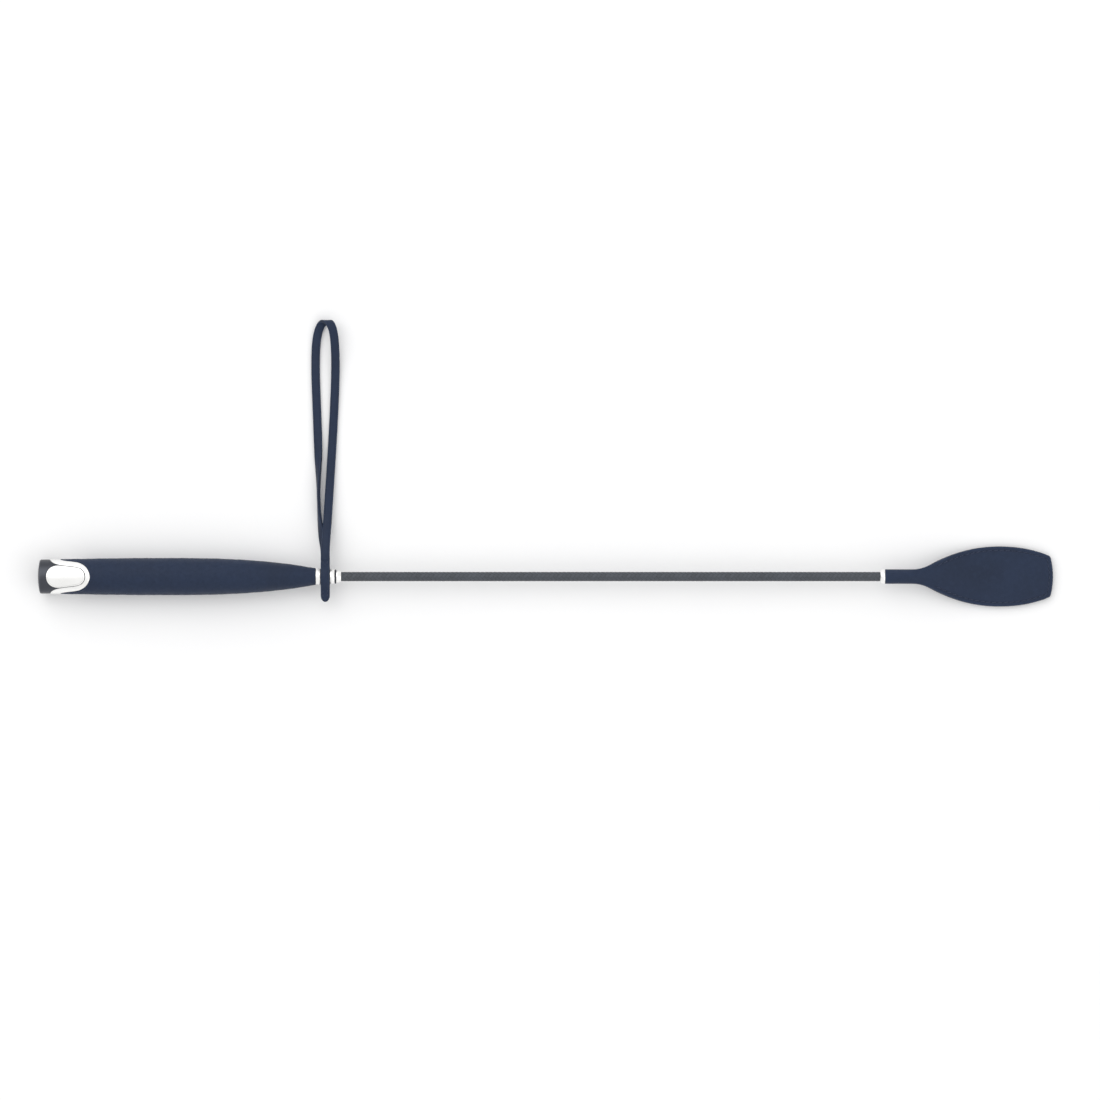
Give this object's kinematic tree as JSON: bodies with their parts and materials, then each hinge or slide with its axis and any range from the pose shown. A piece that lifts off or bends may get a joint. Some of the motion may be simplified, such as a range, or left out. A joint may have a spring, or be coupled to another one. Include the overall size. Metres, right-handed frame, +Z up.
{
  "type": "riding crop",
  "caption": "Riding crop with a swelling leather grip, metal end cap, wrist loop, thin braided shaft and a stiff leather flap at its tip.",
  "frame": {"origin": "centre of the crop's box at the surface it lies on, below the shaft's axis", "axes": "+X along the crop from the butt cap to the flap, +Y to the side the wrist loop lies on, +Z up"},
  "size_m": [0.6504, 0.1835, 0.0239],
  "materials": {
    "grip_leather": "fine grained, semi matt",
    "flap_leather": "fine grained, semi matt",
    "strap_leather": "fine grained, semi matt",
    "thread": "waxed thread",
    "shaft_braid": "lacquered braided thread",
    "cap_metal": "satin gunmetal",
    "bright_metal": "satin nickel",
    "washer_rubber": "matt",
    "rod_fibreglass": "resin bonded glass",
    "former_plastic": "moulded",
    "stiffener": "sheet"
  },
  "bodies": {
    "crop": {"core_rod": "rod_fibreglass", "shaft_cover": "shaft_braid", "handle_core": "former_plastic", "grip_cover": "grip_leather", "grip_stitches": "thread", "end_cap": "cap_metal", "cap_trim": "bright_metal", "cap_badge": "bright_metal", "badge_pins": "bright_metal", "neck_ferrule": "bright_metal", "neck_washer": "washer_rubber", "shaft_collar": "bright_metal", "tip_ferrule": "bright_metal", "tip_whipping": "thread", "rod_tip_cap": "former_plastic", "keeper_sleeve": "flap_leather", "sleeve_stitches": "thread"},
    "wrist_loop": {"loop_end_front": "strap_leather", "loop_end_back": "strap_leather", "loop_stitches": "thread", "loop_strap": "strap_leather"},
    "flap": {"flap_upper": "flap_leather", "flap_lower": "flap_leather", "flap_insert": "stiffener", "flap_stitches": "thread"}
  },
  "joints": [
    {"name": "loop_swivel", "type": "hinge", "parent": "crop", "child": "wrist_loop", "pos_m": [-0.14143, 0, 0.01193], "axis": [1, 0, 0], "continuous": true},
    {"name": "flap_flex", "type": "hinge", "parent": "crop", "child": "flap", "pos_m": [0.241, 0, 0.01071], "axis": [0, -1, 0], "range_deg": [-35, 35], "stiffness_Nm_per_rad": 0.35}
  ]
}
